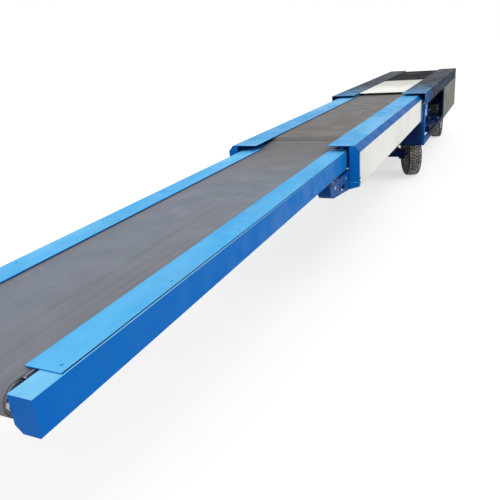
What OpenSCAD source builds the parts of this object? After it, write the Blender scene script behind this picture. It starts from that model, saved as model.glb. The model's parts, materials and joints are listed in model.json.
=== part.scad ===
// Mobile telescopic belt conveyor: a wheeled base section, a middle section and a boom.
// X runs from the feed end to the boom's tip, Y is across, Z is up and the ground is Z = 0.
// The origin is on the ground below the middle of the machine as it stands with its booms run out.

/* [Sections] */
// Length of the base section
base_l = 3850; // [3400:10:4400]
// Length of the middle section
middle_l = 3600; // [3400:10:3700]
// Length of the boom
boom_l = 3500; // [3300:10:3540]
// How far the middle section stands out of the base
middle_out = 3020; // [1500:10:3040]
// How far the boom stands out of the middle section
boom_out = 3050; // [1500:10:3060]
// Running gap between the boom and the middle section's side channels
boom_play = 20; // [14:1:30]
// Running gap between the middle section and the base's rails
middle_play = 14; // [10:1:24]

/* [Heights] */
// Ground to the bottom of the base
base_z = 450; // [430:1:470]
// Ground to the top of the base covers
base_top = 1055; // [1050:1:1100]
// Step down from the base covers to the middle covers
middle_step = 28; // [26:1:40]
// Step down from the middle covers to the boom covers
boom_step = 43; // [40:1:60]
// Height of the middle section's side
middle_h = 294; // [280:1:300]
// Height of the boom's side, cover included
boom_h = 123; // [118:1:126]

/* [Belt] */
// Width of the belt
belt_w = 600; // [500:10:700]
// Gap between the belt's edge and the boom beams
belt_side = 35; // [25:1:50]
// Thickness of the belt
belt_t = 5; // [3:1:6]
// Thickness of the bed sheet under the belt
bed_t = 3; // [2:1:4]
// Thickness of the cover plates
cover_t = 4; // [3:1:5]
// Air between the belt and the underside of the covers
belt_air = 5; // [4:1:7]
// How far each cover laps over the belt's edge
cover_lap = 20; // [10:1:40]
// Radius of the head drum
head_r = 50; // [44:1:51]
// Radius of the drums at the feed end
tail_r = 55; // [45:1:60]
// Radius of the middle section's belt rollers
idler_r = 34; // [28:1:36]
// Radius of the drum and roller shafts
shaft_r = 15; // [12:1:18]

/* [Boom beams] */
// Width of each boom beam
beam_w = 85; // [70:1:88]
// Wall of the boom beams
beam_t = 4; // [3:0.5:6]
// Bevel on the beams' inner lower corner at the tip
beam_bevel = 25; // [10:1:30]
// Bare stretch of the beams between the covers and the tip
bare_tip = 118; // [90:1:160]

/* [Side walls] */
// Depth of the middle section's side channels
wall_w = 72; // [60:1:76]
// Sheet of the side channels
wall_t = 4; // [3:0.5:6]
// Height of the sloping shoulder on the middle covers
shoulder_h = 40; // [25:1:50]
// Width of the sloping shoulder
shoulder_w = 36; // [20:1:45]
// Depth of the base rails and posts
rail_w = 30; // [26:1:34]
// Height of the base's top rails
top_rail_h = 140; // [136:1:150]
// Height of the wheel channel in the base's top rails
rail_slot_h = 56; // [50:1:66]
// Height of the base's bottom rails
low_rail_h = 60; // [40:1:80]
// Width of the base's posts
post_w = 78; // [50:1:90]
// Length of the open bay behind the base's front posts
bay_l = 1912; // [1500:10:2100]
// Thickness of the white side panels
panel_t = 3; // [2:0.5:4]

/* [Chassis] */
// How far the long rails' outer faces lie inside the belt's edge
chassis_in = 50; // [42:1:60]
// Width of the long rails
chassis_w = 50; // [40:1:60]
// Height of the long rails
chassis_h = 130; // [110:1:140]
// Height of the cross members
cross_h = 80; // [60:1:90]
// Length of each cross member along the machine
cross_l = 60; // [40:1:80]
// Length of the front crossbeam along the machine
front_beam_l = 45; // [30:1:48]

/* [Wheels] */
// Radius of the tyres
tyre_r = 270; // [255:1:275]
// Width of the tyres
tyre_w = 160; // [140:1:164]
// Radius of the rims at the bead
rim_r = 118; // [105:1:130]
// Gap between the rear tyres and the long rails
tyre_gap = 16; // [10:1:30]
// Distance from the base front to the kingpins
kingpin_in = 347; // [345:1:400]
// Distance from the base's rear to the rear axle
rear_axle_in = 701; // [640:1:760]
// Angle to which the front wheels are turned at rest
steer_rest = 22; // [0:1:24]
// How far the kingpins lie inside the long rails' outer faces
kingpin_inset = 15; // [10:1:25]
// Distance from a kingpin to its wheel's centre plane
wheel_off = 123; // [122:1:128]
// Radius of the kingpins
kingpin_r = 14; // [12:1:16]
// Radius of the stub axles
stub_r = 15; // [13:1:17]
// Length of the steering arms
arm_l = 150; // [120:1:160]
// Side of the square axle beams
axle_s = 60; // [50:1:64]

/* [Guide wheels] */
// Radius of the wheels at the boom's rear
boom_wheel_r = 55; // [45:1:56]
// Radius of the wheels at the middle section's rear
middle_wheel_r = 27.5; // [24:0.5:32]
// Radius of the rollers that carry the booms
carry_r = 42; // [36:1:46]

/* [Clearances] */
// Gap where one piece rests on a round piece
seat_gap = 0.3; // [0.2:0.05:0.6]
// Radial clearance of a shaft in its bore
fit_gap = 0.05; // [0.03:0.01:0.1]

/* [Hidden] */
$fn = 64;
blue = [0.03, 0.38, 0.74];
sky = [0.30, 0.65, 0.92];
dark_blue = [0.05, 0.16, 0.42];
white = [0.90, 0.91, 0.88];
belt_grey = [0.50, 0.52, 0.54];
steel = [0.70, 0.71, 0.73];
black = [0.08, 0.08, 0.09];

// Places along X
total_l = base_l + middle_out + boom_out;
tail_x = -total_l / 2;
base_x = tail_x + base_l;
middle_x = base_x + middle_out;
middle_tail_x = middle_x - middle_l;
tip_x = middle_x + boom_out;
boom_tail_x = tip_x - boom_l;
bay_x = base_x - post_w - bay_l;
kingpin_x = base_x - kingpin_in;
rear_axle_x = tail_x + rear_axle_in;

// Half widths, from the belt out to the base
belt_y = belt_w / 2;
cover_y = belt_y - cover_lap;
bed_margin = 16;
bed_y = belt_y + bed_margin;
beam_y = belt_y + belt_side;
boom_half_w = beam_y + beam_w;
wall_in = boom_half_w + boom_play;
middle_half_w = wall_in + wall_w;
rail_in = middle_half_w + middle_play;
base_half_w = rail_in + rail_w;
chassis_y = belt_y - chassis_in;
kingpin_y = chassis_y - kingpin_inset;
track_y = chassis_y + tyre_gap + tyre_w / 2;

// Levels of the three belts
middle_top = base_top - middle_step;
boom_top = middle_top - boom_step;
belt_depth = cover_t + belt_air + belt_t + bed_t;
middle_z = middle_top - middle_h;
boom_z = boom_top - boom_h;

// Helpers
module slab(x, y, z) {
    // A box between low and high corners given as pairs
    translate([x[0], y[0], z[0]])
        cube([x[1] - x[0], y[1] - y[0], z[1] - z[0]]);
}
module both_sides() {
    children();
    mirror([0, 1, 0])
        children();
}
module along_x(x) {
    // Sweeps a section drawn as (y, z) from x[0] to x[1]
    translate([x[0], 0, 0])
        rotate([90, 0, 90])
            linear_extrude(x[1] - x[0])
                children();
}
module along_y(y) {
    // Sweeps an outline drawn as (x, z) from y[0] to y[1]
    translate([0, y[1], 0])
        rotate([90, 0, 0])
            linear_extrude(y[1] - y[0])
                children();
}
module round_y(r, y) {
    // A round bar across the machine from y[0] to y[1], at x = 0 and z = 0
    translate([0, y[1], 0])
        rotate([90, 0, 0])
            cylinder(r = r, h = y[1] - y[0]);
}
function arc(c, r, a0, a1, n = 24) = [
    for (i = [0 : n])
        let (a = a0 + (a1 - a0) * i / n)
        [c[0] + r * cos(a), c[1] + r * sin(a)]
];

// Roller with its shaft, centred on Y
module roller(r, half_l, shaft_y) {
    round_y(r, [-half_l, half_l]);
    round_y(shaft_r, [-shaft_y, shaft_y]);
}

// Bed: a shallow tray whose lips reach up to the covers
module bed(x, top) {
    low = top - belt_depth;
    along_x(x)
        polygon([
            [-bed_y - bed_t, low], [bed_y + bed_t, low], [bed_y + bed_t, top - cover_t],
            [bed_y, top - cover_t], [bed_y, low + bed_t], [-bed_y, low + bed_t],
            [-bed_y, top - cover_t], [-bed_y - bed_t, top - cover_t]
        ]);
}

// Base section: rails and posts
rail_low = base_top - cover_t - top_rail_h;
module base_top_rails() {
    top = base_top - cover_t;
    slot_top = rail_low + wall_t + rail_slot_h;
    web = base_half_w - wall_t;
    color(blue)
        both_sides()
            along_x([tail_x, base_x])
                polygon([
                    [rail_in, rail_low], [base_half_w, rail_low], [base_half_w, top], [rail_in, top],
                    [rail_in, top - wall_t], [web, top - wall_t], [web, slot_top + wall_t],
                    [rail_in, slot_top + wall_t], [rail_in, slot_top], [web, slot_top],
                    [web, rail_low + wall_t], [rail_in, rail_low + wall_t]
                ]);
}
module base_bottom_rails() {
    color(blue)
        both_sides()
            difference() {
                slab([tail_x, base_x], [rail_in, base_half_w], [base_z, base_z + low_rail_h]);
                slab([tail_x + wall_t, base_x - wall_t], [rail_in + wall_t, base_half_w - wall_t],
                    [base_z + wall_t, base_z + low_rail_h - wall_t]);
            }
}
module base_posts() {
    posts = [base_x - post_w, bay_x - post_w, tail_x];
    color(blue)
        both_sides()
            for (x = posts)
                difference() {
                    slab([x, x + post_w], [rail_in, base_half_w], [base_z + low_rail_h, rail_low]);
                    slab([x + wall_t, x + post_w - wall_t], [rail_in + wall_t, base_half_w - wall_t],
                        [base_z + low_rail_h - 1, rail_low + 1]);
                }
}
module base_covers() {
    color(sky)
        both_sides()
            slab([tail_x, base_x], [cover_y, base_half_w], [base_top - cover_t, base_top]);
}
panel_edge = 6;
module base_panels() {
    color(white)
        both_sides()
            slab([tail_x + panel_edge, bay_x - post_w + panel_edge], [base_half_w, base_half_w + panel_t],
                [base_z + panel_edge, rail_low]);
}

// Rear plate with the holes that take a feed conveyor
tail_plate_t = 6;
feed_hole_r = 7;
feed_hole_in = 106;
feed_hole_y = rail_in - feed_hole_in;
feed_hole_z = 250;
feed_hole_mid = 720;
module base_tail_plate() {
    color(blue)
        difference() {
            slab([tail_x, tail_x + tail_plate_t], [-rail_in, rail_in], [base_z, base_top - belt_depth]);
            for (y = [-feed_hole_y, feed_hole_y])
                for (z = [feed_hole_mid - feed_hole_z / 2, feed_hole_mid + feed_hole_z / 2])
                    translate([tail_x - 1, y, z])
                        rotate([0, 90, 0])
                            cylinder(r = feed_hole_r, h = tail_plate_t + 2);
        }
}

// White plate over the belt behind the base's front
plate_in = 300;
plate_l = 1600;
plate_t = 3;
plate_lap = 12;
plate_drop = 5;
module transition_plate() {
    x1 = base_x - plate_in;
    top = base_top - cover_t;
    half = cover_y + plate_lap;
    color(white)
        along_y([-half, half])
            polygon([
                [x1 - plate_l, top - plate_t], [x1 - plate_drop, top - plate_t],
                [x1, top - 2 * plate_t], [x1 + plate_t, top - 1.5 * plate_t], [x1, top],
                [x1 - plate_l, top]
            ]);
}

// Base belt: top strand, drop behind the drums and return strand
drum_back = 120;
drum_x = tail_x + drum_back;
base_bed_in = 340;
base_bed_x = base_x - base_bed_in;
// Gap from a drum's centre to the bed behind it
bed_start = 20;
base_belt_z = base_top - belt_depth + bed_t;
tail_z = base_belt_z - tail_r;
return_gap = 15;
return_drop = 13;
return_end = 40;
return_z = middle_z - return_gap - belt_t - return_drop;
drive_z = return_z + belt_t + tail_r;
drop_x = drum_x - tail_r;
// How far drums and rollers reach past the belt's edge, and their shafts stop short of the rails
drum_edge = 10;
shaft_end = 2;
module base_bed() {
    color(steel)
        bed([drum_x + bed_start, base_bed_x], base_top);
}
module base_belt() {
    c = [drum_x, tail_z];
    color(belt_grey)
        along_y([-belt_y, belt_y])
            polygon(concat(
                [[base_bed_x, base_belt_z], [base_bed_x, base_belt_z + belt_t]],
                arc(c, tail_r + belt_t, 90, 180), arc(c, tail_r, 180, 90)
            ));
}
module base_belt_drop() {
    color(belt_grey)
        slab([drop_x - belt_t, drop_x], [-belt_y, belt_y], [drive_z, tail_z]);
}
module base_return_belt() {
    c = [drum_x, drive_z];
    x = base_x - front_beam_l - return_end;
    color(belt_grey)
        along_y([-belt_y, belt_y])
            polygon(concat(
                arc(c, tail_r + belt_t, 180, 270),
                [[x, return_z], [x, return_z + belt_t]],
                arc(c, tail_r, 270, 180)
            ));
}
module tail_drums() {
    color(steel)
        for (z = [tail_z, drive_z])
            translate([drum_x, 0, z])
                roller(tail_r - seat_gap, belt_y + drum_edge, rail_in - shaft_end);
}
plate_deep = 12;
plate_margin = 20;
module drum_side_plates() {
    // Bearing plates against the rear posts
    color(dark_blue)
        both_sides()
            difference() {
                slab([tail_x + tail_plate_t, drum_x + tail_r + plate_margin], [rail_in - plate_deep, rail_in],
                    [drive_z - tail_r - plate_margin, base_top - belt_depth]);
                for (z = [tail_z, drive_z])
                    translate([drum_x, 0, z])
                        round_y(shaft_r + fit_gap, [rail_in - plate_deep - 1, rail_in + 1]);
            }
}

// Chassis between the side frames
chassis_lift = 50;
chassis_z = base_z + low_rail_h + chassis_lift;
cross_z = chassis_z - cross_h;
chassis_t = 6;
// Cross member places, each the distance of its centre behind the base's front
cross_in = [750, 1590, 2107, base_l - 1200, base_l - 340];
module chassis() {
    rails_x = [tail_x + tail_plate_t, base_x - front_beam_l];
    color(dark_blue)
        union() {
            both_sides()
                difference() {
                    slab(rails_x, [chassis_y - chassis_w, chassis_y], [chassis_z, chassis_z + chassis_h]);
                    slab([rails_x[0] - 1, rails_x[1] - 1], [chassis_y - chassis_w - 1, chassis_y - chassis_t],
                        [chassis_z + chassis_t, chassis_z + chassis_h - chassis_t]);
                }
            for (d = concat(cross_in, [base_l - tail_plate_t - cross_l / 2]))
                slab([base_x - d - cross_l / 2, base_x - d + cross_l / 2], [-rail_in, rail_in],
                    [cross_z, chassis_z]);
            slab([base_x - front_beam_l, base_x], [-rail_in, rail_in], [base_z, middle_z - return_gap]);
        }
}
module counterweight() {
    // Fills the bay between two cross members
    half = chassis_y - chassis_w;
    bay = [base_x - cross_in[4] + cross_l / 2, base_x - cross_in[3] - cross_l / 2];
    color(black)
        slab(bay, [-half, half], [cross_z, chassis_z + chassis_h]);
}

// Drive of the telescoping gear, in the open bay
motor_r = 62;
motor_in = 1320;
motor_x = base_x - motor_in;
motor_l = 270;
motor_lift = 2;
fan_l = 60;
fin_r = 60;
fin_depth = 6;
fin_t = 12;
fin_pitch = 26;
fin_start = 25;
gearbox_s = 128;
gearbox_w = 190;
gearbox_rim = 12;
gearbox_recess = 14;
motor_y = belt_y + drum_edge + motor_r;
module extension_motor() {
    fins = 9;
    color(dark_blue)
        translate([motor_x, motor_y, chassis_z + motor_r + motor_lift])
            rotate([0, 90, 0])
                union() {
                    cylinder(r = fin_r - fin_depth, h = motor_l + 1);
                    for (i = [0 : fins - 1])
                        translate([0, 0, fin_start + i * fin_pitch])
                            cylinder(r = fin_r, h = fin_t);
                    translate([0, 0, motor_l])
                        cylinder(r = motor_r, h = fan_l);
                }
}
module extension_gearbox() {
    y = chassis_y + gearbox_w;
    color(dark_blue)
        difference() {
            slab([motor_x - gearbox_s, motor_x], [chassis_y, y], [chassis_z, chassis_z + gearbox_s]);
            slab([motor_x - gearbox_s + gearbox_rim, motor_x - gearbox_rim], [y - gearbox_recess, y + 1],
                [chassis_z + gearbox_rim, chassis_z + gearbox_s - gearbox_rim]);
        }
}
control_in = 1860;
control_l = 300;
control_w = 235;
control_h = 120;
control_door_t = 6;
control_edge = 8;
module control_box() {
    x = [base_x - control_in - control_l, base_x - control_in];
    y = chassis_y + control_w;
    z = [chassis_z, chassis_z + control_h];
    edge = control_edge;
    color(black)
        union() {
            slab(x, [chassis_y, y], z);
            // Door
            slab([x[0] + edge, x[1] - edge], [y, y + control_door_t], [z[0] + edge, z[1] - edge]);
        }
}

// Rollers in the base's front that carry the middle section
base_carry_in = 50;
base_carry_x = base_x - front_beam_l - base_carry_in;
carry_y = [wall_in + 4, middle_half_w - 12];
roller_play = 2;
pin_r = 12;
ear_t = 8;
ear_half = 40;
ear_drop = 60;
module base_carry_rollers() {
    z = middle_z - carry_r - seat_gap;
    color(steel)
        both_sides()
            translate([base_carry_x, 0, z])
                union() {
                    round_y(carry_r, [carry_y[0] + roller_play, carry_y[1] - roller_play]);
                    round_y(pin_r, [carry_y[0] - ear_t, carry_y[1] + ear_t]);
                }
}
module base_roller_brackets() {
    z = middle_z - carry_r - seat_gap;
    color(blue)
        both_sides()
            for (y = [carry_y[0] - ear_t, carry_y[1]])
                difference() {
                    slab([base_carry_x - ear_half, base_x - front_beam_l], [y, y + ear_t],
                        [z - ear_drop, middle_z - return_gap]);
                    translate([base_carry_x, 0, z])
                        round_y(pin_r + fit_gap, [y - 1, y + ear_t + 1]);
                }
}

// Axles
axle_z = tyre_r - axle_s / 2;
eye_r = 30;
eye_h = axle_s;
beam_end = 12;
foot_t = 10;
foot_half = 60;
column_half = 40;
column_w = 45;
column_in = 55;
stub_out = 45;
module pedestals(x, y) {
    // Columns on an axle beam, each with a foot plate under a long rail
    both_sides()
        union() {
            slab([x - column_half, x + column_half], [y, y + column_w],
                [axle_z + axle_s, chassis_z - foot_t]);
            slab([x - foot_half, x + foot_half], [y, chassis_y], [chassis_z - foot_t, chassis_z]);
        }
}
module front_axle() {
    color(dark_blue)
        difference() {
            union() {
                slab([kingpin_x - axle_s / 2, kingpin_x + axle_s / 2],
                    [-kingpin_y + beam_end, kingpin_y - beam_end], [axle_z, axle_z + axle_s]);
                both_sides()
                    translate([kingpin_x, kingpin_y, axle_z])
                        cylinder(r = eye_r, h = eye_h);
                pedestals(kingpin_x, kingpin_y - eye_r - column_in);
            }
            both_sides()
                translate([kingpin_x, kingpin_y, axle_z - 1])
                    cylinder(r = kingpin_r + seat_gap, h = eye_h + 2);
        }
}
module rear_axle() {
    color(dark_blue)
        union() {
            slab([rear_axle_x - axle_s / 2, rear_axle_x + axle_s / 2], [-chassis_y, chassis_y],
                [axle_z, axle_z + axle_s]);
            pedestals(rear_axle_x, chassis_y - chassis_w);
            translate([rear_axle_x, 0, tyre_r])
                round_y(stub_r, [-track_y - stub_out, track_y + stub_out]);
        }
}

// Knuckle drawn for the left side at the straight-ahead angle, with its kingpin on the Z axis
lug_h = 22;
lug_gap = 0.5;
knuckle_half = 22;
knuckle_t = 10;
knuckle_air = 2;
arm_half = 13;
arm_end_r = 18;
arm_pin_r = 7;
module knuckle() {
    top = axle_z + eye_h + lug_gap;
    low = axle_z - lug_gap;
    back = eye_r + knuckle_air;
    difference() {
        union() {
            translate([0, 0, low - lug_h])
                cylinder(r = kingpin_r, h = top - low + 2 * lug_h);
            for (z = [low - lug_h, top])
                translate([0, 0, z])
                    linear_extrude(lug_h)
                        union() {
                            circle(r = eye_r);
                            translate([-knuckle_half, 0])
                                square([2 * knuckle_half, back + knuckle_t]);
                        }
            slab([-knuckle_half, knuckle_half], [back, back + knuckle_t], [low - lug_h, top + lug_h]);
            translate([0, 0, tyre_r])
                round_y(stub_r, [back, wheel_off + stub_out]);
            slab([-arm_l, 0], [-arm_half, arm_half], [top, top + lug_h]);
            translate([-arm_l, 0, top])
                cylinder(r = arm_end_r, h = lug_h);
        }
        translate([-arm_l, 0, top - 1])
            cylinder(r = arm_pin_r + seat_gap, h = lug_h + 2);
    }
}
module knuckle_left() {
    color(dark_blue)
        translate([kingpin_x, kingpin_y, 0])
            rotate([0, 0, steer_rest])
                knuckle();
}
module knuckle_right() {
    color(dark_blue)
        translate([kingpin_x, -kingpin_y, 0])
            rotate([0, 0, steer_rest])
                mirror([0, 1, 0])
                    knuckle();
}
rod_r = 11;
rod_end_r = 15;
rod_end_drop = 12;
rod_below = 16;
rod_pin_over = 4;
module tie_rod() {
    // Joins the two steering arms and stays parallel to the axle
    top = axle_z + eye_h + lug_gap;
    x = kingpin_x - arm_l * cos(steer_rest);
    dy = -arm_l * sin(steer_rest);
    bar_z = top - rod_below;
    low = bar_z - rod_end_drop;
    color(steel)
        translate([x, dy, 0])
            union() {
                translate([0, 0, bar_z])
                    round_y(rod_r, [-kingpin_y, kingpin_y]);
                for (y = [-kingpin_y, kingpin_y])
                    translate([0, y, low]) {
                        cylinder(r = rod_end_r, h = top - lug_gap - low);
                        cylinder(r = arm_pin_r, h = top + lug_h + rod_pin_over - low);
                    }
            }
}

// Wheel about the Y axis, with its outer side towards +Y
bead_in = 28;
bead_h = 20;
side_in = 6;
side_h = 62;
shoulder_r = 34;
crown_a = 12;
module tyre() {
    half = tyre_w / 2;
    shoulder = shoulder_r;
    bead = half - bead_in;
    rotate([90, 0, 0])
        rotate_extrude($fn = 96)
            polygon(concat(
                [[rim_r, -bead], [rim_r + bead_h, -half + side_in]],
                [[rim_r + side_h, -half]],
                arc([tyre_r - shoulder, -half + shoulder], shoulder, -90, -crown_a, 6),
                [[tyre_r, 0]],
                arc([tyre_r - shoulder, half - shoulder], shoulder, crown_a, 90, 6),
                [[rim_r + side_h, half]],
                [[rim_r + bead_h, half - side_in], [rim_r, bead]]
            ));
}
hub_r = 38;
hub_in = 32;
hub_out = 38;
hub_edge = 6;
rim_t = 4;
flange_h = 14;
flange_t = 3;
disc_y = [22, 6];
disc_t = 8;
nut_circle_r = 78;
nut_hole_r = 11;
module rim() {
    bead = tyre_w / 2 - bead_in;
    flange_y = bead + flange_h * (bead_in - side_in) / bead_h + 1.2;
    r = rim_r - seat_gap;
    inner = r - rim_t;
    lip_r = r + flange_h;
    seat = bead + seat_gap;
    difference() {
        rotate([-90, 0, 0])
            rotate_extrude($fn = 96)
                union() {
                    // Barrel with its two flanges, which hold the tyre's beads
                    polygon([
                        [lip_r, -flange_y], [r, -seat], [r, seat], [lip_r, flange_y],
                        [lip_r - flange_t, flange_y + flange_t], [inner, bead + hub_edge],
                        [inner, -bead - hub_edge], [lip_r - flange_t, -flange_y - flange_t]
                    ]);
                    // Dished disc
                    polygon([
                        [hub_r - 2, disc_y[0]], [inner + 2, disc_y[1]], [inner + 2, disc_y[1] + disc_t],
                        [hub_r - 2, disc_y[0] + disc_t]
                    ]);
                    // Hub
                    polygon([
                        [stub_r + fit_gap, -hub_in], [hub_r, -hub_in], [hub_r, hub_out],
                        [hub_r - hub_edge, hub_out + hub_edge], [stub_r + fit_gap, hub_out + hub_edge]
                    ]);
                }
        for (a = [0 : 72 : 288])
            rotate([0, a, 0])
                translate([nut_circle_r, 0, 0])
                    round_y(nut_hole_r, [0, hub_out]);
    }
}
// Wheel places: name of the end, x and y of its pivot, outward offset and turn about Z
wheel_places = [
    ["front_left", kingpin_x, kingpin_y, wheel_off, steer_rest, 1],
    ["front_right", kingpin_x, -kingpin_y, wheel_off, steer_rest, -1],
    ["rear_left", rear_axle_x, track_y, 0, 0, 1],
    ["rear_right", rear_axle_x, -track_y, 0, 0, -1]
];
module at_wheel(i) {
    w = wheel_places[i];
    translate([w[1], w[2], tyre_r])
        rotate([0, 0, w[4]])
            translate([0, w[5] * w[3], 0])
                mirror([0, w[5] < 0 ? 1 : 0, 0])
                    children();
}
module wheel_tyre(i) {
    color(black)
        at_wheel(i)
            tyre();
}
module wheel_rim(i) {
    color(white)
        at_wheel(i)
            rim();
}

// Clevis under the front crossbeam for a tow bar
clevis_r = 13;
clevis_l = 62;
clevis_ear = 30;
clevis_gap = 30;
clevis_t = 16;
clevis_mid = base_z + 60;
module tow_clevis() {
    color(dark_blue)
        difference() {
            for (z = [clevis_mid - clevis_gap / 2 - clevis_t, clevis_mid + clevis_gap / 2])
                translate([base_x, 0, z])
                    linear_extrude(clevis_t)
                        union() {
                            translate([0, -clevis_ear])
                                square([clevis_l - clevis_ear, 2 * clevis_ear]);
                            translate([clevis_l - clevis_ear, 0])
                                circle(r = clevis_ear);
                        }
            translate([base_x + clevis_l - clevis_ear, 0, clevis_mid - clevis_gap / 2 - clevis_t - 1])
                cylinder(r = clevis_r, h = clevis_gap + 2 * clevis_t + 2);
        }
}

// Middle section
skirt_h = 13;
wall_top = middle_top - cover_t - shoulder_h - skirt_h;
end_cap_t = 6;
module middle_walls() {
    web = middle_half_w - wall_t;
    color(blue)
        both_sides()
            union() {
                along_x([middle_tail_x, middle_x])
                    polygon([
                        [wall_in, middle_z], [middle_half_w, middle_z], [middle_half_w, wall_top],
                        [wall_in, wall_top], [wall_in, wall_top - wall_t], [web, wall_top - wall_t],
                        [web, middle_z + wall_t], [wall_in, middle_z + wall_t]
                    ]);
                slab([middle_x - end_cap_t, middle_x], [wall_in, middle_half_w], [middle_z, wall_top]);
            }
}
module middle_covers() {
    top = middle_top;
    low = top - cover_t;
    slope_y = middle_half_w - shoulder_w;
    color(sky)
        both_sides()
            along_x([middle_tail_x, middle_x])
                polygon([
                    [cover_y, low], [cover_y, top], [slope_y, top], [middle_half_w, top - shoulder_h],
                    [middle_half_w, wall_top], [middle_half_w - cover_t, wall_top],
                    [middle_half_w - cover_t, top - shoulder_h - 1], [slope_y - 2, low]
                ]);
}
// Bare stretch of the side walls behind, ahead of, below and over the white panels
bare_back = 130;
bare_front = 14;
bare_low = 4;
panel_over = 8;
module middle_panels() {
    color(white)
        both_sides()
            slab([middle_tail_x + bare_back, middle_x - bare_front],
                [middle_half_w, middle_half_w + panel_t], [middle_z + bare_low, wall_top + panel_over]);
}
// Cross members of the middle section, each the distance of its centre behind the front
middle_cross_first = 700;
middle_cross_last = middle_l - 180;
middle_cross_in = [for (i = [0 : 4]) middle_cross_first + i * (middle_cross_last - middle_cross_first) / 4];
middle_cross_h = 30;
middle_cross_half = 25;
middle_cross_low = middle_z + wall_t;
front_member_l = 40;
boom_gap = 12;
belt_slot = [8, 14];
module middle_cross_members() {
    web = middle_half_w - wall_t;
    front = middle_x - end_cap_t;
    slot_y = belt_y + drum_edge;
    color(dark_blue)
        union() {
            for (d = middle_cross_in)
                slab([middle_x - d - middle_cross_half, middle_x - d + middle_cross_half], [-web, web],
                    [middle_cross_low, middle_cross_low + middle_cross_h]);
            // Front member with a slot for the return belt
            difference() {
                slab([front - front_member_l, front], [-web, web], [middle_cross_low, boom_z - boom_gap]);
                slab([front - front_member_l - 1, front + 1], [-slot_y, slot_y],
                    [middle_return_z - belt_slot[0], middle_return_z + belt_slot[1]]);
            }
        }
}
middle_belt_z = middle_top - belt_depth + bed_t;
nose_over = 20;
nose_r = 9;
middle_nose_x = boom_tail_x + nose_over;
idler_back = 60;
middle_idler_x = middle_tail_x + idler_back;
middle_idler_z = middle_belt_z - idler_r;
middle_return_gap = 8;
middle_return_z = middle_cross_low + middle_cross_h + middle_return_gap;
middle_low_z = middle_return_z + belt_t + idler_r;
front_idler_out = 100;
front_idler_x = middle_x + front_idler_out;
module middle_bed() {
    color(steel)
        bed([middle_idler_x + bed_start, middle_nose_x], middle_top);
}
module middle_belt() {
    // The front end turns down over a small nose
    c = [middle_idler_x, middle_idler_z];
    n = [middle_nose_x, middle_belt_z + belt_t - nose_r];
    color(belt_grey)
        along_y([-belt_y, belt_y])
            polygon(concat(
                arc(n, nose_r - belt_t, 0, 90, 4), arc(c, idler_r, 90, 180),
                arc(c, idler_r + belt_t, 180, 90), arc(n, nose_r, 90, 0, 6)
            ));
}
module middle_belt_drop() {
    x = middle_idler_x - idler_r;
    color(belt_grey)
        slab([x - belt_t, x], [-belt_y, belt_y], [middle_low_z, middle_idler_z]);
}
module middle_return_belt() {
    c = [middle_idler_x, middle_low_z];
    f = [front_idler_x, middle_low_z];
    color(belt_grey)
        along_y([-belt_y, belt_y])
            polygon(concat(
                arc(c, idler_r + belt_t, 180, 270), arc(f, idler_r + belt_t, -90, 90),
                arc(f, idler_r, 90, -90), arc(c, idler_r, 270, 180)
            ));
}
end_plate_t = 8;
end_plate_margin = 20;
roller_edge = 8;
module middle_end_plates() {
    // Bearing plates against the inner edges of the side channels
    y1 = wall_in;
    color(dark_blue)
        both_sides()
            difference() {
                slab([middle_tail_x, middle_idler_x + idler_r + end_plate_margin], [y1 - end_plate_t, y1],
                    [middle_z, middle_top - belt_depth]);
                for (z = [middle_idler_z, middle_low_z])
                    translate([middle_idler_x, 0, z])
                        round_y(shaft_r + fit_gap, [y1 - end_plate_t - 1, y1 + 1]);
            }
}
module middle_belt_rollers() {
    color(steel)
        union() {
            for (z = [middle_idler_z, middle_low_z])
                translate([middle_idler_x, 0, z])
                    roller(idler_r - seat_gap, belt_y + roller_edge, wall_in);
            translate([front_idler_x, 0, middle_low_z])
                roller(idler_r - seat_gap, belt_y + roller_edge, bracket_y[1]);
        }
}

// Brackets under the boom at the middle section's front
bracket_w = 90;
bracket_y = [wall_in - bracket_w, wall_in];
bracket_t = 8;
bracket_rim = 6;
bracket_gap = 10;
bracket_top = boom_z - bracket_gap;
bracket_nose_r = 90;
bracket_nose_out = 400;
bracket_nose_drop = 4;
bracket_nose = [middle_x + bracket_nose_out, bracket_top - bracket_nose_drop];
bracket_drop = 21;
// Windows in the bracket's plates: distance of the middle ahead of the wall, height over it, half sizes
window_at = [178, 38];
window_half = [44, 20];
slot_at = [258, 62];
slot_half = [13, 30];
window_r = 8;
module bracket_outline() {
    polygon(concat(
        [[middle_x, middle_z - bracket_drop], [middle_x, bracket_top]],
        arc(bracket_nose, bracket_nose_r, 2, -80, 12)
    ));
}
module bracket_window(at, half) {
    translate([middle_x + at[0], middle_z + at[1]])
        offset(r = window_r)
            square(2 * [half[0] - window_r, half[1] - window_r], center = true);
}
carry_out = 370;
carry_x = middle_x + carry_out;
carry_z = boom_z - carry_r - seat_gap;
module middle_front_brackets() {
    y0 = bracket_y[0];
    y1 = bracket_y[1];
    color(blue)
        both_sides()
            difference() {
                union() {
                    for (y = [y0, y1 - bracket_t])
                        along_y([y, y + bracket_t])
                            difference() {
                                bracket_outline();
                                bracket_window(window_at, window_half);
                                bracket_window(slot_at, slot_half);
                            }
                    along_y([y0, y1])
                        polygon(concat(
                            arc(bracket_nose, bracket_nose_r, -5, -80, 12),
                            arc(bracket_nose, bracket_nose_r - bracket_rim, -80, -5, 12)
                        ));
                    slab([middle_x, middle_x + bracket_t], [y0, y1], [middle_z - bracket_drop, bracket_top]);
                }
                translate([carry_x, 0, carry_z])
                    round_y(pin_r + fit_gap, [y0 - 1, y1 + 1]);
                translate([front_idler_x, 0, middle_low_z])
                    round_y(shaft_r + fit_gap, [y0 - 1, y1 + 1]);
            }
}
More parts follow.
